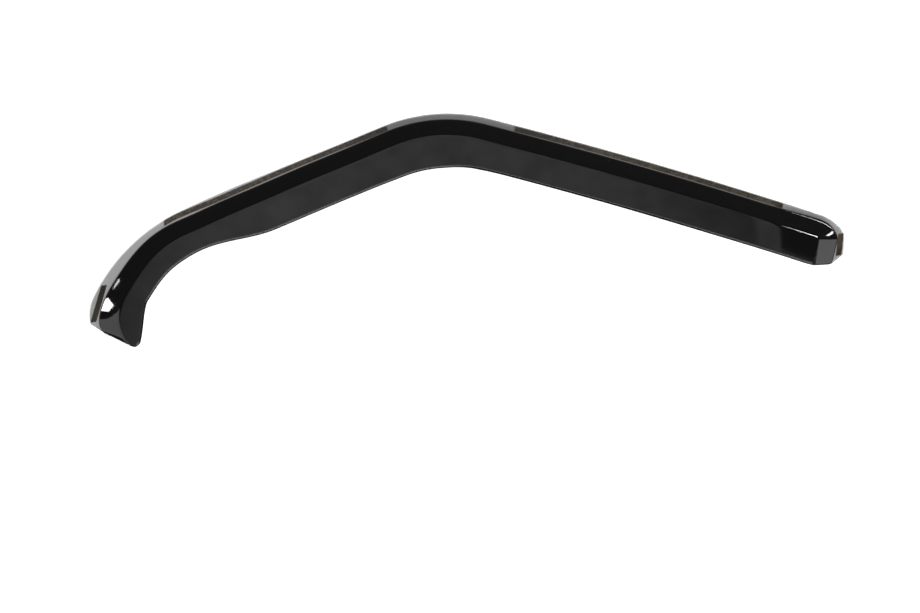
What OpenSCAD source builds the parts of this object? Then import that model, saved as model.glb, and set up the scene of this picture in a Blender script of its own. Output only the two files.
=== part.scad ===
// Window rain deflector for one front side window.
// It lies on its mounting face: X along the car, Y up the door, Z outward from the glass.
// The shell is one loft. Four curves in plan carry it: outer edge, flange root, face bend, free edge.

/* [Outline of the outer edge] */
// lean of the rear end from the X axis, in degrees
end_lean = 81.9; // [76:0.1:86]
// length of the rear end before its corner
end_run = 16.3; // [12:1:24]
// radius of the tight part of the rear corner
corner_r = 23.1; // [18:0.1:26]
// turn of the tight part of the rear corner, in degrees
corner_turn = 52; // [44:0.5:54]
// radius of the easy part of the rear corner
ease_r = 54.2; // [46:0.5:64]
// turn of the easy part of the rear corner, in degrees
ease_turn = 26.7; // [23:0.1:30]
// length of the rear stretch
rear_run = 404.4; // [360:0.2:430]
// slight bow of the rear stretch, in degrees
rear_bow = 4.3; // [2:0.1:6]
// radius of the crown
crown_r = 189.4; // [160:1:220]
// turn of the crown, in degrees
crown_turn = 38.8; // [34:0.1:42]
// length of the front stretch
front_run = 174.9; // [160:1:195]
// radius where the front stretch starts to fall
shoulder_r = 1337; // [1100:1:1600]
// turn where the front stretch starts to fall, in degrees
shoulder_turn = 3.6; // [3:0.1:5]
// radius of the hook
hook_r = 202.8; // [180:1:230]
// turn of the hook, in degrees
hook_turn = 40.5; // [37:0.1:43]
// radius of the hook end
toe_r = 53.1; // [45:0.1:65]
// turn of the hook end, in degrees
toe_turn = 37; // [32:0.5:41]

/* [Section] */
// height of the face front over the flange front
depth = 15; // [13:0.5:20]
// wall of the band and the face
wall = 3; // [2:0.1:3.6]
// thickness of the flange
flange_t = 1.2; // [1:0.1:1.8]
// plan width of the sloping band
band_w = 24.2; // [22:0.1:28]
// outside radius of the bend between band and face
bend_r = 4.5; // [4:0.1:6]
// radius of the hollow between flange and band
root_r = 2.5; // [1:0.1:4]
// radius of the broken edges
edge_r = 0.4; // [0.2:0.05:0.5]

/* [Flange width] */
// flange width on both stretches
flange_w = 9.2; // [8.5:0.1:11]
// flange width over the crown
crown_flange_w = 8.3; // [7.2:0.1:10]
// flange width where the front stretch starts to fall
shoulder_flange_w = 10.9; // [9.5:0.1:12]
// flange width at the start of the hook
hook_flange_w = 9.2; // [8:0.1:11]
// flange width at the hook end
toe_flange_w = 13.4; // [12:0.1:15]

/* [Whole width, from the outer edge to the free edge] */
// whole width beside the rear end cap
end_w = 68.2; // [63:0.2:76]
// whole width on the rear stretch
rear_w = 69.3; // [63:0.1:76]
// whole width at the crown
crown_w = 74; // [66:0.1:79]
// whole width on the front stretch
front_w = 72.3; // [66:0.1:78]
// whole width where the front stretch starts to fall
shoulder_w = 73.1; // [66:0.1:79]
// whole width at the start of the hook
hook_w = 59.8; // [56:0.2:66]
// whole width at the hook end
toe_w = 63; // [59:0.2:69]

/* [Where the widths change] */
// length before the middle of the crown where the flange narrows
crown_flange_lead = 120; // [95:5:130]
// length after the middle of the crown where the flange widens again
crown_flange_trail = 140; // [120:5:160]
// length before the shoulder where the flange starts to widen
shoulder_flange_lead = 85; // [60:5:100]
// length past the shoulder where the flange is widest
shoulder_flange_past = 20; // [0:2:40]
// length before the hook where the flange starts to narrow
hook_flange_lead = 16; // [0:2:30]
// length along the hook where the flange is narrowest
hook_flange_past = 34; // [20:2:40]
// length along the hook where the flange starts to widen again
toe_flange_from = 42; // [40:1:60]
// length along the hook where the flange has its full width
toe_flange_to = 120; // [110:2:130]
// length of the change from the end width to the rear width
rear_w_ease = 150; // [120:5:180]
// length before the middle of the crown where the whole starts to widen
crown_w_lead = 100; // [80:5:120]
// length past the middle of the crown where the whole is widest
crown_w_past = 5; // [0:1:15]
// length past the middle of the crown where the whole starts to narrow
front_w_from = 20; // [16:1:30]
// length past the middle of the crown where the whole has its front width
front_w_to = 115; // [95:5:130]
// length before the shoulder where the whole starts to widen
shoulder_w_lead = 100; // [80:5:120]
// length before the shoulder where the whole starts to narrow
hook_w_lead = 8; // [0:1:20]
// length along the hook where the whole starts to widen again
toe_w_from = 50; // [40:2:60]
// length along the hook where the whole has its end width
toe_w_to = 120; // [110:2:130]

/* [Rear end cap] */
// plan distance from the outer edge to the face bend at the rear end
cap_w = 36.6; // [34:0.2:40]
// radius of the ridge between band and end cap, in plan
cap_ridge_r = 4; // [2:0.2:6]
// how far the flange is cut in at its lower corner
rear_trim_in = 13.2; // [11:0.2:15]
// how far the flange is cut down at its lower corner
rear_trim_drop = 13.8; // [11:0.2:16]
// how far the cap foot lies below the lower corner of the outer edge
cap_drop = 26.3; // [24:0.2:28]

/* [Hook end] */
// angle between the hook end and its straight cut, in degrees
toe_cut = 45; // [42:1:50]
// distance along the cut to the flange root
toe_root_at = 23; // [21:0.5:26]
// distance along the cut to the face bend
toe_bend_at = 54; // [51:0.5:56]
// distance along the cut to the sharp corner that the tip is rounded from
toe_tip_at = 69; // [67:0.5:71]
// radius of the tip
tip_r = 8; // [6:0.5:8.5]
// angle between the hook end and the free edge at the tip, in degrees
tip_lean = 25; // [22:1:30]
// angle between the hook end and the free edge where it breaks from the hook, in degrees
break_lean = 30; // [29:1:38]

// outside radius of the bend at the cut
toe_bend_r = 10; // [5:0.5:11]
// length before the hook end where the section starts to turn to the cut
toe_lead = 20.5; // [16:0.5:24]
// pull of the root curve where it leaves the hook
root_pull = 30; // [24:1:34]
// pull of the root curve where it meets the cut
root_draw = 16; // [12:1:20]
// pull of the bend curve where it leaves the hook
bend_pull = 29; // [23:1:33]
// pull of the bend curve where it meets the cut
bend_draw = 23; // [19:1:27]
// pull of the free edge where it leaves the hook
free_pull = 14; // [10:1:22]
// pull of the free edge where it meets the tip
free_draw = 14; // [8:1:20]

/* [Adhesive strips] */
// width of the foam tape
tape_w = 6; // [5:0.1:6.4]
// thickness of the foam tape
tape_t = 1.1; // [0.8:0.05:1.6]
// thickness of the release liner
liner_t = 0.15; // [0.1:0.01:0.3]
// where the rear strip begins, along the outer edge
rear_strip_from = 106; // [95:1:130]
// where the rear strip ends
rear_strip_to = 434; // [400:1:440]
// where the front strip begins
front_strip_from = 592; // [588:1:620]
// where the front strip ends
front_strip_to = 878; // [850:1:884]
// where the strip on the hook end begins
hook_strip_from = 981; // [975:1:990]
// length of the strip on the rear end
end_strip_l = 27; // [22:0.5:28]

// distance of the rear strip from the outer edge
rear_strip_in = 4.1; // [3.2:0.1:5]
// distance of the front strip from the outer edge where it begins
front_strip_in = 4; // [3.2:0.1:5]
// distance of the front strip from the outer edge where it lies furthest in
shoulder_strip_in = 5.8; // [5:0.1:6.4]
// distance of the front strip from the outer edge where it ends
hook_side_strip_in = 3.4; // [3.2:0.1:4.5]
// length before the shoulder where the front strip leaves the outer edge
shoulder_strip_lead = 70; // [50:5:90]
// length past the shoulder where the front strip lies furthest in
shoulder_strip_past = 35; // [20:5:45]
// distance of the hook strip from the outer edge at its ends
hook_strip_in = [4.2, 3.6];
// distance of the end strip from the outer edge
end_strip_in = 5.6; // [5:0.1:6.4]
// distance of both end strips from the ends of the part
strip_short = 2; // [1:0.1:4]

/* [Hidden] */
$fn = 48;

flange_z = liner_t + tape_t;
front_z = flange_z + flange_t;
face_z = front_z + depth;

// Each run of the outer edge is a length, a turn and a number of steps.
function arc_l(r, turn) = r * turn * PI / 180;
runs = [
  [end_run, 0, 4],
  [arc_l(corner_r, corner_turn), corner_turn, 12],
  [arc_l(ease_r, ease_turn), ease_turn, 8],
  [rear_run, rear_bow, 16],
  [arc_l(crown_r, crown_turn), crown_turn, 15],
  [front_run, 0, 12],
  [arc_l(shoulder_r, shoulder_turn), shoulder_turn, 4],
  [arc_l(hook_r, hook_turn), hook_turn, 14],
  [arc_l(toe_r, toe_turn), toe_turn, 12]
];

// A pose is x, y and the heading of travel.
function moved(p, l, turn) =
  turn == 0
    ? [p.x + l * cos(p.z), p.y + l * sin(p.z), p.z]
    : let (r = l / (turn * PI / 180))
      [p.x + r * (sin(p.z + turn) - sin(p.z)), p.y - r * (cos(p.z + turn) - cos(p.z)), p.z + turn];
function run_starts(p, i = 0) =
  i == len(runs) ? [p] : concat([p], run_starts(moved(p, runs[i][0], runs[i][1]), i + 1));
function run_lengths(s = 0, i = 0) =
  i == len(runs) ? [s] : concat([s], run_lengths(s + runs[i][0], i + 1));
starts = run_starts([0, 0, end_lean]);
marks = run_lengths();
total_l = marks[len(runs)];

function run_of(s, i = 0) = i == len(runs) - 1 || s < marks[i + 1] ? i : run_of(s, i + 1);
function pose(s) =
  let (i = run_of(s), k = (s - marks[i]) / runs[i][0])
  moved(starts[i], s - marks[i], runs[i][1] * k);
function ahead(p) = [cos(p.z), sin(p.z)];
function inward(p) = [-sin(p.z), cos(p.z)];
function at(p) = [p.x, p.y];

function mix(a, b, k) = a + (b - a) * k;
function ease(a, b, s) = let (k = min(1, max(0, (s - a) / (b - a)))) k * k * (3 - 2 * k);
function bezier(a, b, c, d, k) =
  let (m = 1 - k)
  a * m * m * m + b * 3 * m * m * k + c * 3 * m * k * k + d * k * k * k;
function unit(v) = v / norm(v);

// Widths along the outer edge, each eased from one value to the next.
corner_s = marks[1];
stretch_s = marks[3];
crown_s = (marks[4] + marks[5]) / 2;
fall_s = marks[6];
hook_s = marks[7];
toe_s = marks[8] - toe_lead;
function flange_at(s) =
  flange_w
  + (crown_flange_w - flange_w) * (ease(crown_s - crown_flange_lead, crown_s, s) - ease(crown_s, crown_s + crown_flange_trail, s))
  + (shoulder_flange_w - flange_w) * ease(fall_s - shoulder_flange_lead, fall_s + shoulder_flange_past, s)
  + (hook_flange_w - shoulder_flange_w) * ease(hook_s - hook_flange_lead, hook_s + hook_flange_past, s)
  + (toe_flange_w - hook_flange_w) * ease(hook_s + toe_flange_from, hook_s + toe_flange_to, s);
function width_at(s) =
  end_w
  + (rear_w - end_w) * ease(stretch_s, stretch_s + rear_w_ease, s)
  + (crown_w - rear_w) * ease(crown_s - crown_w_lead, crown_s + crown_w_past, s)
  + (front_w - crown_w) * ease(crown_s + front_w_from, crown_s + front_w_to, s)
  + (shoulder_w - front_w) * ease(fall_s - shoulder_w_lead, fall_s, s)
  + (hook_w - shoulder_w) * ease(fall_s - hook_w_lead, hook_s, s)
  + (toe_w - hook_w) * ease(hook_s + toe_w_from, hook_s + toe_w_to, s);
function bend_at(s) = bend_r + (toe_bend_r - bend_r) * ease(toe_s - toe_lead, total_l, s);

// A square section across the run, as its four plan points.
function square_cut(s) =
  let (p = pose(s), n = inward(p), f = flange_at(s))
  [at(p), at(p) + n * f, at(p) + n * (f + band_w), at(p) + n * width_at(s)];

// At the rear corner the bend turns about one point, set by the two straight bend lines.
end_pose = pose(0);
stretch_pose = pose(stretch_s);
turned = stretch_pose.z - end_pose.z;
rear_bend = square_cut(stretch_s)[2] + inward(stretch_pose) * cap_ridge_r;
cap_off = (rear_bend - at(end_pose)) * inward(end_pose);
ridge_c = rear_bend + ahead(stretch_pose) * ((cap_off - cap_w - cap_ridge_r) / sin(turned));
rear_free = square_cut(stretch_s)[3];
rear_root = at(end_pose) + inward(end_pose) * rear_trim_in - ahead(end_pose) * rear_trim_drop;
rear_foot = at(end_pose) + inward(end_pose) * (cap_w - 1.4) - ahead(end_pose) * cap_drop;
rear_tip = mix(rear_foot, rear_free, 0.36);
function corner_cut(s) =
  let (p = pose(s), n = inward(p), k = (s - corner_s) / (stretch_s - corner_s))
  [at(p), at(p) + n * flange_at(s), ridge_c - n * cap_ridge_r, mix(rear_tip, rear_free, 0.35 + 0.65 * k)];
function end_cut(s) =
  let (k = s / corner_s, c = corner_cut(corner_s))
  [at(pose(s)), mix(rear_root, c[1], k), mix(rear_foot, c[2], k), mix(rear_tip, c[3], k)];

// At the hook end the curves run out to points on one straight cut.
toe_pose = pose(total_l);
cut_dir = [cos(toe_pose.z + 90 - toe_cut), sin(toe_pose.z + 90 - toe_cut)];
toe_square = square_cut(toe_s);
toe_ahead = ahead(pose(toe_s));
toe_root = at(toe_pose) + cut_dir * toe_root_at;
toe_bend = at(toe_pose) + cut_dir * toe_bend_at;
tip_corner = at(toe_pose) + cut_dir * toe_tip_at;
free_dir = [cos(toe_pose.z - tip_lean), sin(toe_pose.z - tip_lean)];
tip_half = acos(cut_dir * free_dir) / 2;
tip_run = tip_r / tan(tip_half);
tip_c = tip_corner + unit(-cut_dir - free_dir) * tip_r / sin(tip_half);
tip_start = tip_corner - free_dir * tip_run;
tip_from = tip_start - tip_c;

// The free edge goes round the tip to halfway, and the last cut goes round the other half.
function tip_point(k) = let (a = -(90 - tip_half) * k) tip_c + [
  tip_from.x * cos(a) - tip_from.y * sin(a),
  tip_from.x * sin(a) + tip_from.y * cos(a)
];
tip_share = 0.78;
break_dir = [cos(toe_pose.z - break_lean), sin(toe_pose.z - break_lean)];
function free_at(k) =
  k < tip_share
    ? bezier(toe_square[3], toe_square[3] + break_dir * free_pull, tip_start - free_dir * free_draw, tip_start, k / tip_share)
    : tip_point((k - tip_share) / (1 - tip_share));
function toe_cut_at(s) =
  let (
    k = (s - toe_s) / (total_l - toe_s),
    end = ahead(toe_pose),
    out = inward(toe_pose),
    root = bezier(toe_square[1], toe_square[1] + toe_ahead * root_pull, toe_root - unit(end * 0.6 + out) * root_draw, toe_root, k),
    bend = bezier(toe_square[2], toe_square[2] + toe_ahead * bend_pull, toe_bend - unit(end + out * 0.4) * bend_draw, toe_bend, k),
    sag = (tip_point(1.5) - mix(toe_bend, tip_point(1), 0.5)) * pow(k, 8)
  )
  [at(pose(s)), root, bend, free_at(k), sag];

function plan_cut(s) =
  s < corner_s ? end_cut(s)
  : s < stretch_s ? corner_cut(s)
  : s > toe_s ? toe_cut_at(s)
  : square_cut(s);

run_steps = [
  for (i = [0:len(runs) - 1])
    for (j = [0:runs[i][2] - 1])
      marks[i] + runs[i][0] * j / runs[i][2]
];
stations = concat(run_steps, [total_l]);

// One side of the section: the hollow at the root, then the bend, as runs along the plan and heights.
function turn_rows(r, slope, n, rising) =
  let (l = r * tan(slope / 2))
  [
    for (i = [0:n])
      let (a = slope * i / n)
      rising
        ? [r * sin(a) - l, r * (1 - cos(a))]
        : [r * (sin(slope) - sin(slope - a)) - l * cos(slope), r * (cos(slope - a) - 1)]
  ];

// A point on the plan line, by its distance past the root or past the bend.
function past(c, corner, d) =
  d < 0
    ? c[corner] + unit(c[corner] - c[corner - 1]) * d
    : c[corner] + unit(c[corner + 1] - c[corner]) * d;

function sag_at(c) = len(c) > 4 ? c[4] : [0, 0];

function side(c, low, high, root_off, bend_off, rr, br, rim) =
  let (
    slope = atan(depth / norm(c[2] - c[1])),
    f = norm(c[3] - c[2])
  )
  concat(
    [concat(c[0], [low + rim])],
    [concat(past(c, 1, edge_r - norm(c[1] - c[0])), [low])],
    [for (q = turn_rows(rr, slope, 4, true)) concat(past(c, 1, root_off + q.x), [low + q.y])],
    [for (q = turn_rows(br, slope, 5, false)) concat(past(c, 2, bend_off + q.x), [high + q.y])],
    [for (k = [0.3, 0.55, 0.8]) concat(past(c, 2, k * (f - edge_r)) + sag_at(c) * 4 * k * (1 - k), [high])],
    [concat(past(c, 2, f - edge_r), [high])],
    [concat(c[3], [high + rim])]
  );

function front_side(c, br) = side(c, front_z, face_z, 0, 0, root_r, br, -edge_r);
function back_side(c, br) =
  let (slope = atan(depth / norm(c[2] - c[1])))
  side(
    c, flange_z, face_z - wall,
    (wall / cos(slope) - flange_t) / tan(slope),
    wall * tan(slope / 2),
    root_r + 1.5, br - wall, edge_r
  );

rings = [for (s = stations) let (c = plan_cut(s), br = bend_at(s)) concat(front_side(c, br), back_side(c, br))];
rows = len(rings[0]) / 2;
ring_n = rows * 2;

// The part is centred on its own box.
xs = [for (r = rings) for (q = r) q.x];
ys = [for (r = rings) for (q = r) q.y];
mid = [(min(xs) + max(xs)) / 2, (min(ys) + max(ys)) / 2];

// Corner numbers of the loft, front rows first, then back rows.
function front_i(i, j) = i * ring_n + j;
function back_i(i, j) = i * ring_n + rows + j;
function two(a, b, c, d) = [[a, b, c], [a, c, d]];
last = len(stations) - 1;
loft_faces = concat(
  [for (i = [0:last - 1]) for (j = [0:rows - 2])
    each two(front_i(i, j), front_i(i, j + 1), front_i(i + 1, j + 1), front_i(i + 1, j))],
  [for (i = [0:last - 1]) for (j = [0:rows - 2])
    each two(back_i(i, j), back_i(i + 1, j), back_i(i + 1, j + 1), back_i(i, j + 1))],
  [for (i = [0:last - 1])
    each two(front_i(i, 0), front_i(i + 1, 0), back_i(i + 1, 0), back_i(i, 0))],
  [for (i = [0:last - 1])
    each two(front_i(i, rows - 1), back_i(i, rows - 1), back_i(i + 1, rows - 1), front_i(i + 1, rows - 1))],
  [for (j = [0:rows - 2])
    each two(front_i(0, j), back_i(0, j), back_i(0, j + 1), front_i(0, j + 1))],
  [for (j = [0:rows - 2])
    each two(front_i(last, j), front_i(last, j + 1), back_i(last, j + 1), back_i(last, j))]
);

// The long strips follow the outer edge. The short ones are straight, between two centre points.
function beside(s, off) = let (p = pose(s)) at(p) + inward(p) * off;
function front_off(s) =
  front_strip_in
  + (shoulder_strip_in - front_strip_in) * ease(fall_s - shoulder_strip_lead, fall_s + shoulder_strip_past, s)
  + (hook_side_strip_in - shoulder_strip_in) * ease(fall_s + shoulder_strip_past, front_strip_to, s);
function run(a, b, n) = [for (i = [0:n]) a + (b - a) * i / n];
rear_line = [for (s = run(rear_strip_from, rear_strip_to, 24)) beside(s, rear_strip_in)];
front_line = [for (s = run(front_strip_from, front_strip_to, 36)) beside(s, front_off(s))];
hook_foot = at(toe_pose) + inward(toe_pose) * hook_strip_in[1] - ahead(toe_pose) * strip_short;
hook_line = [beside(hook_strip_from, hook_strip_in[0]), hook_foot];
end_foot = at(end_pose) + inward(end_pose) * end_strip_in - ahead(end_pose) * strip_short;
end_line = [end_foot, end_foot + [sin(10), cos(10)] * end_strip_l];

// Slants of the strip ends, as length along the strip over half of its width.
rear_slant = [0, 0];
front_slant = [0.1, 0.5];
hook_slant = [-0.35, -0.35];
end_slant = [-0.42, -0.42];

// One border of a strip, to the left or to the right of its centre line.
function border(line, slant, hand) =
  let (n = len(line) - 1)
  [
    for (i = [0:n])
      let (
        d = unit(line[min(n, i + 1)] - line[max(0, i - 1)]),
        lean = i == 0 ? slant[0] : i == n ? slant[1] : 0
      )
      line[i] + ([-d.y, d.x] + d * lean) * hand * tape_w / 2
  ];

module strip(line, slant, t, z) {
  right = border(line, slant, -1);
  translate([-mid.x, -mid.y, z])
    linear_extrude(height = t)
      polygon(concat(border(line, slant, 1), [for (i = [len(right) - 1:-1:0]) right[i]]));
}

module tape(line, slant) {
  color([0.2, 0.17, 0.14]) strip(line, slant, tape_t, liner_t);
}

module liner(line, slant) {
  color([0.72, 0.12, 0.1]) strip(line, slant, liner_t, 0);
}

module shell() {
  color([0.08, 0.08, 0.09])
    translate([-mid.x, -mid.y, 0])
      polyhedron(
        points = [for (r = rings) each r],
        faces = loft_faces,
        convexity = 6
      );
}

shell();
tape(rear_line, rear_slant);  // tape_rear
tape(front_line, front_slant);  // tape_front
tape(hook_line, hook_slant);  // tape_hook
tape(end_line, end_slant);  // tape_end
liner(rear_line, rear_slant);  // liner_rear
liner(front_line, front_slant);  // liner_front
liner(hook_line, hook_slant);  // liner_hook
liner(end_line, end_slant);  // liner_end
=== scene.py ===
import bpy, bmesh, math
from mathutils import Matrix, Vector
from mathutils.kdtree import KDTree


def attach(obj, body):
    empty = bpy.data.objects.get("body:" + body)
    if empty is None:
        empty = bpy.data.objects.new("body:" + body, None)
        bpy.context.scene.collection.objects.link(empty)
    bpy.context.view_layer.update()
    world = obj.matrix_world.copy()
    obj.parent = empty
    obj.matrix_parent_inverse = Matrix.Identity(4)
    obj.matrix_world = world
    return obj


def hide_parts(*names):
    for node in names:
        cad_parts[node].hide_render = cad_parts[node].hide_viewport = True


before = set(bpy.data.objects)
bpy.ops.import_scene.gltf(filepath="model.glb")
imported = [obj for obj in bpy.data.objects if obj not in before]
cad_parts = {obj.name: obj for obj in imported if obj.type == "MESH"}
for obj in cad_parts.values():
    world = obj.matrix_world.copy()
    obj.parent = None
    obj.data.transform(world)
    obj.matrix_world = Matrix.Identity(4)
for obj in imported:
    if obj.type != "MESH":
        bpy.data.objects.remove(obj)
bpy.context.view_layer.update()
print("frame loaded:", len(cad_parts), "nodes")


def linear(hexCode):
    # sRGB hex to the linear colour that the shaders want
    parts = [int(hexCode[i:i + 2], 16) / 255 for i in (1, 3, 5)]
    return [p / 12.92 if p <= 0.04045 else ((p + 0.055) / 1.055) ** 2.4 for p in parts] + [1]


# The shell in millimetres and degrees, named as in the part's source where that has the size. The outer edge
# runs from the rear end round the rear corner, along the rear stretch, over the crown, down the front stretch
# and round the hook to its toe.
shell = dict(
    endLean=81.9, endRun=16.3, cornerR=23.1, cornerTurn=52, easeR=54.2, easeTurn=26.7,
    rearRun=404.4, rearBow=4.3, crownR=189.4, crownTurn=38.8, frontRun=174.9,
    shoulderR=1337, shoulderTurn=3.6, hookR=202.8, hookTurn=40.5, toeR=53.1, toeTurn=37,
    centre=(-434.343, 30.515),  # where the frame's origin lies in this plan
    # the section: step from flange to face, walls, tape with liner, the band's width in plan, its two bends
    depth=15, wall=3, flangeT=1.2, stripT=1.25, bandW=24.2, bendR=4.5, rootR=1.7, innerRootMore=1.5,
    # flange widths and whole widths, square to the outer edge
    flangeW=9.2, crownFlangeW=8.3, shoulderFlangeW=10.9, hookFlangeW=9.2, toeFlangeW=13.4,
    endW=68.2, rearW=69.3, crownW=74, frontW=72.3, shoulderW=73.1, hookW=59.8, toeW=63,
    # where those widths change
    crownFlangeLead=120, crownFlangeTrail=140, shoulderFlangeLead=85, shoulderFlangePast=20,
    hookFlangeLead=16, hookFlangePast=34, toeFlangeFrom=42, toeFlangeTo=120,
    rearWEase=150, crownWLead=100, crownWPast=5, frontWFrom=20, frontWTo=115, shoulderWLead=100, hookWLead=8,
    toeWFrom=50, toeWTo=120,
    # rear end cap: its width, the ridge to the face, its trimmed root, its foot and its lower corner
    capW=36.6, capRidgeR=4, rearTrimIn=13.2, rearTrimDrop=13.8, capDrop=23, footIn=1.4, tipShareRear=0.36,
    freeShareRear=0.35,
    # hook end: the cut, where root, bend and free edge meet it, its tip, and the pull of each curve
    toeCut=45, toeRootAt=23, toeBendAt=54, toeTipAt=69, tipR=8, tipLean=25, breakLean=30, tipShare=0.78,
    toeBendR=10, toeLead=20.5, rootPull=30, rootDraw=16, bendPull=29, bendDraw=23, freePull=14, freeDraw=14,
    rootLean=0.6, bendLean=0.4, sagPower=8,
    # mesh: columns on each run of the edge, rows in each bend, the free edge's round-over, the rims' bevel
    steps=[6, 30, 20, 84, 60, 44, 16, 60, 44], rootSteps=8, bendSteps=9, lipW=2, lipSteps=5, beforeLip=3,
    faceShares=(0.12, 0.25, 0.4, 0.55, 0.7, 0.84), bevelW=0.38, bevelSteps=3, sharpTurn=40, tipKeep=13,
)
s = shell


def sind(a):
    return math.sin(math.radians(a))


def cosd(a):
    return math.cos(math.radians(a))


def heading(a):
    return Vector((cosd(a), sind(a)))


def arcL(r, turn):
    return math.radians(turn) * r


def mix(a, b, k):
    return a + (b - a) * k


def ease(a, b, at):
    k = min(1, max(0, (at - a) / (b - a)))
    return k * k * (3 - 2 * k)


def bezier(a, b, c, d, k):
    m = 1 - k
    return a * m ** 3 + b * 3 * m * m * k + c * 3 * m * k * k + d * k ** 3


# Each run of the outer edge is a length and a turn.
runs = [(s["endRun"], 0), (arcL(s["cornerR"], s["cornerTurn"]), s["cornerTurn"]),
        (arcL(s["easeR"], s["easeTurn"]), s["easeTurn"]), (s["rearRun"], s["rearBow"]),
        (arcL(s["crownR"], s["crownTurn"]), s["crownTurn"]), (s["frontRun"], 0),
        (arcL(s["shoulderR"], s["shoulderTurn"]), s["shoulderTurn"]),
        (arcL(s["hookR"], s["hookTurn"]), s["hookTurn"]), (arcL(s["toeR"], s["toeTurn"]), s["toeTurn"])]


def moved(pose, length, turn):
    x, y, h = pose
    if turn == 0:
        return (x + length * cosd(h), y + length * sind(h), h)
    r = length / math.radians(turn)
    return (x + r * (sind(h + turn) - sind(h)), y - r * (cosd(h + turn) - cosd(h)), h + turn)


starts, marks = [(0, 0, s["endLean"])], [0]
for length, turn in runs:
    starts.append(moved(starts[-1], length, turn))
    marks.append(marks[-1] + length)
totalL = marks[-1]


def poseAt(at):
    # place and heading on the outer edge, that many millimetres from the rear end
    i = next((i for i in range(len(runs)) if at < marks[i + 1]), len(runs) - 1)
    return moved(starts[i], at - marks[i], runs[i][1] * (at - marks[i]) / runs[i][0])


def spot(pose):
    return Vector(pose[:2])


def ahead(pose):
    return heading(pose[2])


def inward(pose):
    return heading(pose[2] + 90)


cornerS, stretchS, crownS = marks[1], marks[3], (marks[4] + marks[5]) / 2
fallS, hookS, toeS = marks[6], marks[7], marks[8] - s["toeLead"]


def eased(values, first, changes, at):
    # a value that changes along the edge
    return values[first] + sum((values[b] - values[a]) * ease(start, end, at) for a, b, start, end in changes)


flangeChanges = [
    ("flangeW", "crownFlangeW", crownS - s["crownFlangeLead"], crownS),
    ("crownFlangeW", "flangeW", crownS, crownS + s["crownFlangeTrail"]),
    ("flangeW", "shoulderFlangeW", fallS - s["shoulderFlangeLead"], fallS + s["shoulderFlangePast"]),
    ("shoulderFlangeW", "hookFlangeW", hookS - s["hookFlangeLead"], hookS + s["hookFlangePast"]),
    ("hookFlangeW", "toeFlangeW", hookS + s["toeFlangeFrom"], hookS + s["toeFlangeTo"])]
wholeChanges = [
    ("endW", "rearW", stretchS, stretchS + s["rearWEase"]),
    ("rearW", "crownW", crownS - s["crownWLead"], crownS + s["crownWPast"]),
    ("crownW", "frontW", crownS + s["frontWFrom"], crownS + s["frontWTo"]),
    ("frontW", "shoulderW", fallS - s["shoulderWLead"], fallS),
    ("shoulderW", "hookW", fallS - s["hookWLead"], hookS),
    ("hookW", "toeW", hookS + s["toeWFrom"], hookS + s["toeWTo"])]


def flangeAt(at):
    return eased(shell, "flangeW", flangeChanges, at)


def wholeAt(at):
    return eased(shell, "endW", wholeChanges, at)


def squareCut(at):
    # the four plan curves where they run square to the edge: outer edge, root, bend, free edge
    p = poseAt(at)
    n, f = inward(p), flangeAt(at)
    return [spot(p), spot(p) + n * f, spot(p) + n * (f + s["bandW"]), spot(p) + n * wholeAt(at)]


# Rear corner: the bend turns about one point, set by the two straight bend lines.
endPose, stretchPose = poseAt(0), poseAt(stretchS)
rearBend = squareCut(stretchS)[2] + inward(stretchPose) * s["capRidgeR"]
capOff = (rearBend - spot(endPose)).dot(inward(endPose))
ridgeTurn = sind(stretchPose[2] - endPose[2])
ridgeC = rearBend + ahead(stretchPose) * ((capOff - s["capW"] - s["capRidgeR"]) / ridgeTurn)
rearFree = squareCut(stretchS)[3]
rearRoot = spot(endPose) + inward(endPose) * s["rearTrimIn"] - ahead(endPose) * s["rearTrimDrop"]
rearFoot = spot(endPose) + inward(endPose) * (s["capW"] - s["footIn"]) - ahead(endPose) * s["capDrop"]
rearTip = mix(rearFoot, rearFree, s["tipShareRear"])


def cornerCut(at):
    p = poseAt(at)
    n, k = inward(p), (at - cornerS) / (stretchS - cornerS)
    free = mix(rearTip, rearFree, mix(s["freeShareRear"], 1, k))
    return [spot(p), spot(p) + n * flangeAt(at), ridgeC - n * s["capRidgeR"], free]


def endCut(at):
    k, c = at / cornerS, cornerCut(cornerS)
    return [spot(poseAt(at)), mix(rearRoot, c[1], k), mix(rearFoot, c[2], k), mix(rearTip, c[3], k)]


# Hook end: the curves run out to points on one straight cut.
toePose = poseAt(totalL)
cutDir = heading(toePose[2] + 90 - s["toeCut"])
toeSquare, toeAhead = squareCut(toeS), ahead(poseAt(toeS))
toeRoot, toeBend, tipCorner = [spot(toePose) + cutDir * s[k] for k in ("toeRootAt", "toeBendAt", "toeTipAt")]
freeDir, breakDir = heading(toePose[2] - s["tipLean"]), heading(toePose[2] - s["breakLean"])
tipHalf = math.degrees(math.acos(cutDir.dot(freeDir))) / 2
tipC = tipCorner + (-cutDir - freeDir).normalized() * s["tipR"] / sind(tipHalf)
tipStart = tipCorner - freeDir * s["tipR"] / math.tan(math.radians(tipHalf))


def tipPoint(k):
    # a point on the tip's arc: 0 is its start, 1 its middle and 2 its end on the cut
    return tipC + (Matrix.Rotation(-math.radians(90 - tipHalf) * k, 2) @ (tipStart - tipC))


def freeAt(k):
    # the free edge's last stretch, a curve into the tip's arc
    if k < s["tipShare"]:
        return bezier(toeSquare[3], toeSquare[3] + breakDir * s["freePull"],
                      tipStart - freeDir * s["freeDraw"], tipStart, k / s["tipShare"])
    return tipPoint((k - s["tipShare"]) / (1 - s["tipShare"]))


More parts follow.
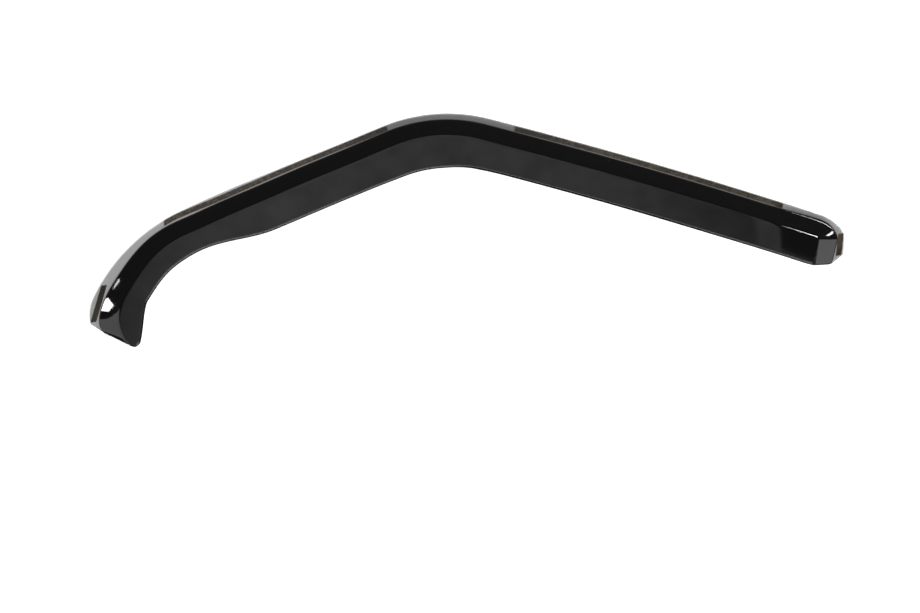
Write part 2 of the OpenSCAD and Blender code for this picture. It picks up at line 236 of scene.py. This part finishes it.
def toeCutAt(at):
    k, end, out = (at - toeS) / (totalL - toeS), ahead(toePose), inward(toePose)
    root = bezier(toeSquare[1], toeSquare[1] + toeAhead * s["rootPull"],
                  toeRoot - (end * s["rootLean"] + out).normalized() * s["rootDraw"], toeRoot, k)
    bend = bezier(toeSquare[2], toeSquare[2] + toeAhead * s["bendPull"],
                  toeBend - (end + out * s["bendLean"]).normalized() * s["bendDraw"], toeBend, k)
    # near the cut the face bows outwards, so that it fills the tip's arc
    sag = (tipPoint(1.5) - mix(toeBend, tipPoint(1), 0.5)) * k ** s["sagPower"]
    return [spot(poseAt(at)), root, bend, freeAt(k), sag]


def planCut(at):
    if at < cornerS:
        return endCut(at)
    if at < stretchS:
        return cornerCut(at)
    return toeCutAt(at) if at > toeS else squareCut(at)


# Heights of the section, from the outer faces of the release liners.
flangeZ = s["stripT"]
frontZ = flangeZ + s["flangeT"]
faceZ = frontZ + s["depth"]


def past(c, corner, d):
    # a point d past a corner of the cut, or before it where d is negative
    other = c[corner - 1] if d < 0 else c[corner + 1]
    way = (c[corner] - other) if d < 0 else (other - c[corner])
    return c[corner] + way.normalized() * d


def turnRows(r, slope, n, rising):
    # a bend of radius r between the level and the slope, as offsets from its corner
    l = r * math.tan(slope / 2)
    for i in range(n + 1):
        a = slope * i / n
        if rising:
            yield r * math.sin(a) - l, r * (1 - math.cos(a))
        else:
            along = r * (math.sin(slope) - math.sin(slope - a)) - l * math.cos(slope)
            yield along, r * (math.cos(slope - a) - 1)


# The tint as millimetres of smoke: thin on the flange, thinnest on its rim, and full past the root. The veil
# is where it starts to thicken, measured from the root. Each change names two values and says where, along
# the edge, one becomes the other.
tint = dict(
    # Along the edge the flange's smoke is heaviest over the crown and lightest at the hook, so the flange is
    # darker over the crown, though the sheet is equally thick all along.
    end=0.8, corner=1.02, rear=0.83, crown=1.2, hook=0.68, full=4,
    changes=(("end", "corner", 34, 70), ("corner", "rear", 92, 112), ("rear", "crown", 340, 432),
             ("crown", "hook", 594, 660)),
    rimRows=((0, 0.4), (0.9, 0.6), (1.6, 1)),  # distance from the outer edge, share of the flange's smoke
    midRow=0.4,  # share of the flange's width
    veilEnd=-1.4, veilRear=-3.6, veilMid=-1.2, veilHook=-1.6, veilW=2.2,
    veilChanges=(("veilEnd", "veilRear", 30, 50), ("veilRear", "veilMid", 60, 130),
                 ("veilMid", "veilHook", 850, 900)),
    frontRows=(-4.2, -3.6, -3, -2.4, -1.9, -1.4, -1), backRows=(-3.6, -2.8, -2, -1.4, -0.7, 0.1, 0.9),
)


def sectionSide(at, front):
    # one side of the wall, from the outer edge over root and bend to the free edge: point, height, smoke
    c = planCut(at)
    flange, face = (c[1] - c[0]).length, (c[3] - c[2]).length
    bendR = mix(s["bendR"], s["toeBendR"], ease(toeS - s["toeLead"], totalL, at))
    slope = math.atan(s["depth"] / (c[2] - c[1]).length)
    sag = c[4] if len(c) > 4 else Vector((0, 0))
    if front:
        zLow, zHigh, rootOff, bendOff, rootR = frontZ, faceZ, 0, 0, s["rootR"]
    else:
        zLow, zHigh = flangeZ, faceZ - s["wall"]
        rootOff = (s["wall"] / math.cos(slope) - s["flangeT"]) / math.tan(slope)
        bendOff = s["wall"] * math.tan(slope / 2)
        rootR, bendR = s["rootR"] + s["innerRootMore"], bendR - s["wall"]
    thin, veil = eased(tint, "end", tint["changes"], at), eased(tint, "veilEnd", tint["veilChanges"], at)

    def smokeAt(d):
        return mix(thin, tint["full"], ease(veil, veil + tint["veilW"], d))

    def faceRow(k, drop=0):
        return past(c, 2, k * face) + sag * 4 * k * (1 - k), zHigh - drop, tint["full"]

    flat = (*tint["rimRows"], (flange * tint["midRow"], 1))
    rows = [(past(c, 1, d - flange), zLow, thin * k) for d, k in flat]
    rows += [(past(c, 1, d), zLow, smokeAt(d)) for d in tint["frontRows" if front else "backRows"]]
    rows += [(past(c, 1, rootOff + x), zLow + z, smokeAt(rootOff + x))
             for x, z in turnRows(rootR, slope, s["rootSteps"], True)]
    rows += [(past(c, 2, bendOff + x), zHigh + z, tint["full"])
             for x, z in turnRows(bendR, slope, s["bendSteps"], False)]
    rows += [faceRow(k) for k in (*s["faceShares"], 1 - s["beforeLip"] / face)]
    for i in range(s["lipSteps"] + 1):  # the free edge is rounded over on its front
        a = math.pi / 2 * i / s["lipSteps"]
        rows.append(faceRow(1 - s["lipW"] * (1 - math.sin(a)) / face, front * s["lipW"] * (1 - math.cos(a))))
    return rows


def toFrame(p, z):
    return Vector(((p.x - s["centre"][0]) / 1000, (p.y - s["centre"][1]) / 1000, z / 1000))


def addSheet(bm, sides):
    # a grid laid along the outer edge, then every vertex set on its section
    nRow, nCol, smoke = len(sides[0]), len(sides), bm.verts.layers.float["smoke"]
    grid = bmesh.ops.create_grid(bm, x_segments=nCol - 1, y_segments=nRow - 1, size=0.5)
    for v in grid["verts"]:
        i, j = round((v.co.x + 0.5) * (nCol - 1)), round((v.co.y + 0.5) * (nRow - 1))
        v.co = toFrame(*sides[i][j][:2])
        v[smoke] = sides[i][j][2]


def bevelRims(bm):
    # the grid closes up at the hook's tip, so its rim is left out of the bevel there
    smoke, tipSpot = bm.verts.layers.float["smoke"], toFrame(tipCorner, faceZ)
    near = KDTree(len(bm.verts))
    for i, v in enumerate(bm.verts):
        near.insert(v.co, i)
    near.balance()
    before = [v[smoke] for v in bm.verts]
    sharp = [e for e in bm.edges if len(e.link_faces) == 2
             and e.calc_face_angle() > math.radians(s["sharpTurn"])
             and (e.verts[0].co - tipSpot).length > s["tipKeep"] / 1000]
    bmesh.ops.bevel(bm, geom=sharp, offset=s["bevelW"] / 1000, segments=s["bevelSteps"], profile=0.5,
                    affect="EDGES", material=-1)
    for v in bm.verts:  # a new vertex takes the smoke of the nearest old one
        v[smoke] = before[near.find(v.co)[1]]


def shellMesh():
    stations = [marks[i] + runs[i][0] * j / n for i, n in enumerate(s["steps"]) for j in range(n)] + [totalL]
    bm = bmesh.new()
    bm.verts.layers.float.new("smoke")
    for front in (True, False):
        addSheet(bm, [sectionSide(at, front) for at in stations])
    bmesh.ops.bridge_loops(bm, edges=[e for e in bm.edges if e.is_boundary])
    bmesh.ops.recalc_face_normals(bm, faces=bm.faces)
    bevelRims(bm)
    for f in bm.faces:
        f.smooth = True
    print("shell:", len(bm.faces), "faces,", sum(e.is_boundary for e in bm.edges), "open edges")
    return bm


def finish(name, bm, replaces, material):
    mesh = bpy.data.meshes.new(name)
    bm.to_mesh(mesh)
    bm.free()
    piece = bpy.data.objects.new(name, mesh)
    bpy.context.scene.collection.objects.link(piece)
    mesh.materials.append(material)
    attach(piece, "root")
    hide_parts(replaces)


def node(tree, kind, links=None, **values):
    # adds one node, sets its fields and sockets, and links the sockets that are named
    n = tree.nodes.new("ShaderNode" + kind)
    for key, value in values.items():
        if hasattr(n, key):
            setattr(n, key, value)
        else:
            n.inputs[key.replace("_", " ")].default_value = value
    for socket, source in (links or {}).items():
        tree.links.new(source, n.inputs[socket])
    return n


def newMaterial(name):
    m = bpy.data.materials.new(name)
    m.use_nodes = True
    m.node_tree.nodes.clear()
    return m, m.node_tree


# Smoked acrylic, moulded from sheet: deep gloss, almost black where the wall is full, grey where it thins.
acrylic = dict(skin="#040405", smokePerMm=1.67, ior=1.49, roughness=0.03, waveMm=38, waveDepth=0.02)


def smokedAcrylic():
    a = acrylic
    m, t = newMaterial("smoked acrylic, moulded sheet")
    place = node(t, "TexCoord")
    smokeMm = node(t, "Attribute", attribute_type="GEOMETRY", attribute_name="smoke")
    power = node(t, "Math", {0: smokeMm.outputs["Fac"]}, operation="MULTIPLY")
    power.inputs[1].default_value = -a["smokePerMm"] / 2  # light crosses two sheets, each takes half
    left = node(t, "Math", {0: power.outputs[0]}, operation="EXPONENT")
    wave = node(t, "TexNoise", {"Vector": place.outputs["Object"]}, Scale=1000 / a["waveMm"], Detail=1.0)
    bump = node(t, "Bump", {"Height": wave.outputs["Fac"]}, Strength=a["waveDepth"], Distance=0.001)
    clear = node(t, "BsdfTransparent", {"Color": left.outputs[0]})
    gloss = node(t, "BsdfPrincipled", {"Normal": bump.outputs["Normal"]}, Base_Color=linear(a["skin"]),
                 Roughness=a["roughness"], IOR=a["ior"])
    both = node(t, "AddShader")
    t.links.new(clear.outputs[0], both.inputs[0])
    t.links.new(gloss.outputs[0], both.inputs[1])
    node(t, "OutputMaterial", {"Surface": both.outputs[0]})
    return m


# Acrylic foam tape, slit from a roll: dull brown-grey, fine closed cells on the cut sides. The hook's tape
# gets a darker copy of the same foam: painted shade for the hook end.
foam = dict(colour="#b0a086", cells="#8f806a", hookShadeColour="#7c6e55", hookShadeCells="#645844",
            cellMm=0.5, cellDepth=0.4, roughness=0.85)


def foamTape(name, colourHex, cellAndPitShadeHex):
    m, t = newMaterial(name)
    place = node(t, "TexCoord")
    cells = node(t, "TexNoise", {"Vector": place.outputs["Object"]}, Scale=1000 / foam["cellMm"], Detail=2.0)
    # the darker cell colour lies where the bumps are low: partly the foam's own tone, partly painted shade in
    # the pits
    colour = node(t, "Mix", {"Factor": cells.outputs["Fac"]}, data_type="RGBA")
    colour.inputs[6].default_value = linear(cellAndPitShadeHex)
    colour.inputs[7].default_value = linear(colourHex)
    bump = node(t, "Bump", {"Height": cells.outputs["Fac"]}, Strength=foam["cellDepth"], Distance=0.0002)
    body = node(t, "BsdfPrincipled", {"Base Color": colour.outputs[2], "Normal": bump.outputs["Normal"]},
                Roughness=foam["roughness"])
    node(t, "OutputMaterial", {"Surface": body.outputs[0]})
    return m


# Release liner, siliconed polyethylene film: red, waxy gloss with a faint embossed weave. The weave has no
# relief here: its darker red is painted shade.
film = dict(colour="#b3201c", shade="#9c1a17", weaveMm=1.2, roughness=0.35)


def linerFilm():
    m, t = newMaterial("release liner, siliconed film")
    place = node(t, "TexCoord")
    weave = node(t, "TexNoise", {"Vector": place.outputs["Object"]}, Scale=1000 / film["weaveMm"], Detail=0.0)
    # the darker red of the weave is painted shade, with no bump under it
    colour = node(t, "Mix", {"Factor": weave.outputs["Fac"]}, data_type="RGBA")
    colour.inputs[6].default_value = linear(film["shade"])
    colour.inputs[7].default_value = linear(film["colour"])
    body = node(t, "BsdfPrincipled", {"Base Color": colour.outputs[2]}, Roughness=film["roughness"])
    node(t, "OutputMaterial", {"Surface": body.outputs[0]})
    return m


finish("shell_moulding", shellMesh(), "shell", smokedAcrylic())

foamLook = foamTape("acrylic foam tape, slit from a roll", foam["colour"], foam["cells"])
# a second, darker copy of the same foam: painted shade for the hook's tape
hookShadedFoamLook = foamTape("acrylic foam tape in painted shade, slit from a roll", foam["hookShadeColour"], foam["hookShadeCells"])
filmLook = linerFilm()
for name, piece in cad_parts.items():
    if name.startswith(("tape", "liner")):
        piece.data.materials.clear()
        # the hook's tape takes the copy darkened as painted shade
        look = filmLook if name.startswith("liner") else hookShadedFoamLook if name == "tape_hook" else foamLook
        piece.data.materials.append(look)
print("tapes and liners have their materials")

# Matt white board, lit from below as a product table is. It lies just under the liners.
board = dict(colour="#f4f4f2", light="#ffffff", roughness=0.9, glow=0.75, half=1.6, cells=4, dropMm=0.5)


def whiteBoard():
    m, t = newMaterial("white opal board, matt")
    body = node(t, "BsdfPrincipled", Base_Color=linear(board["colour"]), Roughness=board["roughness"],
                Emission_Color=linear(board["light"]), Emission_Strength=board["glow"])
    node(t, "OutputMaterial", {"Surface": body.outputs[0]})
    return m


bm = bmesh.new()
bmesh.ops.create_grid(bm, x_segments=board["cells"], y_segments=board["cells"], size=board["half"])
bmesh.ops.translate(bm, verts=bm.verts, vec=(0, 0, -board["dropMm"] / 1000))
floorMesh = bpy.data.meshes.new("floor")
bm.to_mesh(floorMesh)
bm.free()
floor = bpy.data.objects.new("floor", floorMesh)
floorMesh.materials.append(whiteBoard())
bpy.context.scene.collection.objects.link(floor)
floor.visible_glossy = False

# Softboxes: where each is aimed, its compass direction from +Y and its height in degrees, its distance and
# size in metres, and how bright its face is next to the white board.
softboxes = dict(
    key=dict(aim=(0, 0, 0), turn=150, rise=38, far=2.1, size=(2.2, 0.9), bright=7),
    rightSide=dict(aim=(0.41, -0.03, 0.01), turn=92, rise=12, far=1.5, size=(0.72, 0.32), bright=1.7),
    rightStrip=dict(aim=(0.38, -0.005, 0.01), turn=34, rise=44, far=1.5, size=(0.25, 0.6), bright=42),
)
for name, b in softboxes.items():
    away = Vector((sind(b["turn"]) * cosd(b["rise"]), cosd(b["turn"]) * cosd(b["rise"]), sind(b["rise"])))
    lamp = bpy.data.lights.new(name, "AREA")
    lamp.shape, lamp.size, lamp.size_y = "RECTANGLE", *b["size"]
    lamp.energy = b["bright"] * math.pi * b["size"][0] * b["size"][1]
    lampObject = bpy.data.objects.new(name, lamp)
    lampObject.location = Vector(b["aim"]) + away * b["far"]
    lampObject.rotation_euler = away.to_track_quat("Z", "Y").to_euler()
    bpy.context.scene.collection.objects.link(lampObject)

# Glowing panels: a centre and a facing in the frame, corners in millimetres across and up. Only gloss shows
# them.
hookView = dict(centre=(-0.67547, 0.04063, 0.07178), facing=(-0.8689, 0.4451, 0.2166))
panels = dict(
    ceiling=dict(centre=(0, 0, 1.76), facing=(0, 0, 1), bright=0.74,
                 corners=[(894, -190), (-726, -190), (-726, -1050), (894, -1050)],
                 fade=[(0, 0.55), (0.07, 0.62), (0.13, 0.95), (0.3, 1.06), (0.5, 0.96), (0.74, 0.95),
                       (0.885, 0.66), (0.962, 0.45), (0.972, 0.88), (1, 0.9)]),
    ceilingLow=dict(centre=(0, 0, 1.76), facing=(0, 0, 1), bright=0.4,
                    corners=[(-726, -522), (-860, -468), (-860, -200), (-726, -200)]),
    hookSide=dict(centre=(-0.6898, -0.0806, 0.1136), facing=(-0.9327, 0.1145, 0.342), bright=1.35,
                  corners=[(-98, -23), (-77, -21), (-59, -20), (-45, -21), (-40, -25), (-38, -120),
                           (220, -120), (220, 100), (60, 400), (-60, 400), (-110, 60)]),
    hookWindow=dict(**hookView, bright=24, corners=[(-28, -11), (-4, 5), (32, 12.5), (30, -2), (0, -14)]),
    hookStreak=dict(**hookView, bright=14, corners=[(-58, -15.2), (-83, -15.8), (-86, -18.2), (-72, -17.4)]),
    edgeBand=dict(centre=(0, 0, 1.9), facing=(0, 0, 1), bright=4.5,
                  corners=[(1000, -60), (-1000, -60), (-1000, 620), (1000, 620)]),
    rearWindow=dict(centre=(0.64961, 0.17331, 0.06836), facing=(0.7707, 0.6037, 0.2042), bright=24,
                    corners=[(-3, 7), (-36, 13), (-4, -2), (42, -18)]),
)
# Diffuser cloth, woven white: an even glow. The ceiling's fades along its length and has faint patches.
cloth = dict(patchMm=65, uneven=0.2)


def diffuser(name, bright, fade, left, right):
    m, t = newMaterial(name + " diffuser cloth, lit from behind")
    glow = node(t, "Emission", Strength=bright)
    if fade:
        place = node(t, "TexCoord")
        patches = node(t, "TexNoise", {"Vector": place.outputs["Object"]}, Scale=1000 / cloth["patchMm"],
                       Detail=4.0, Roughness=0.6)
        uneven = node(t, "MapRange", {"Value": patches.outputs["Fac"]}, From_Min=0.3, From_Max=0.7,
                      To_Min=bright * (1 - cloth["uneven"]), To_Max=bright * (1 + cloth["uneven"]))
        t.links.new(uneven.outputs["Result"], glow.inputs["Strength"])
        across = node(t, "SeparateXYZ", {"Vector": place.outputs["Object"]})
        share = node(t, "MapRange", {"Value": across.outputs["X"]}, From_Min=left, From_Max=right)
        ramp = node(t, "ValToRGB", {"Fac": share.outputs["Result"]})
        stops = ramp.color_ramp.elements
        for i, (at, level) in enumerate(fade):
            stop = stops[i] if i < 2 else stops.new(at)
            stop.position, stop.color = at, (level, level, level, 1)
        t.links.new(ramp.outputs["Color"], glow.inputs["Color"])
    node(t, "OutputMaterial", {"Surface": glow.outputs[0]})
    return m


for name, b in panels.items():
    turn = Vector(b["facing"]).to_track_quat("Z", "Y").to_matrix()
    corners = [turn @ Vector((x / 1000, y / 1000, 0)) + Vector(b["centre"]) for x, y in b["corners"]]
    bm = bmesh.new()
    bmesh.ops.create_circle(bm, segments=len(corners), radius=1, cap_ends=True)
    for v, co in zip(bm.verts, corners):
        v.co = co
    mesh = bpy.data.meshes.new(name)
    bm.to_mesh(mesh)
    bm.free()
    mesh.materials.append(diffuser(name, b["bright"], b.get("fade"), corners[0].x, corners[1].x))
    panel = bpy.data.objects.new(name, mesh)
    panel.visible_camera = panel.visible_diffuse = panel.visible_transmission = panel.visible_shadow = False
    bpy.context.scene.collection.objects.link(panel)

# The room is white behind the part, and dim in its own light and in what the gloss mirrors.
room = dict(colour="#ffffff", seen=1.0, mirrored=0.08)
world = bpy.data.worlds.new("studio")
bpy.context.scene.world = world
world.use_nodes = True
world.node_tree.nodes.clear()
lightPath = node(world.node_tree, "LightPath")
seen, mirrored = [node(world.node_tree, "Background", Color=linear(room["colour"]), Strength=room[k])
                  for k in ("seen", "mirrored")]
pick = node(world.node_tree, "MixShader",
            {0: lightPath.outputs["Is Camera Ray"], 1: mirrored.outputs[0], 2: seen.outputs[0]})
node(world.node_tree, "OutputWorld", {"Surface": pick.outputs[0]})

view = dict(place=(-0.01118, -0.58555, 1.77553), tilt=15.5, lens=62.61, sensor=36, farthest=50)
camera = bpy.data.objects.new("camera", bpy.data.cameras.new("camera"))
camera.data.lens, camera.data.sensor_width = view["lens"], view["sensor"]
camera.data.clip_end = view["farthest"]
camera.location = view["place"]
camera.rotation_euler = (math.radians(view["tilt"]), 0, 0)
bpy.context.scene.collection.objects.link(camera)
bpy.context.scene.camera = camera
bpy.context.scene.view_settings.view_transform = "Standard"
print("stage, lights and camera set")
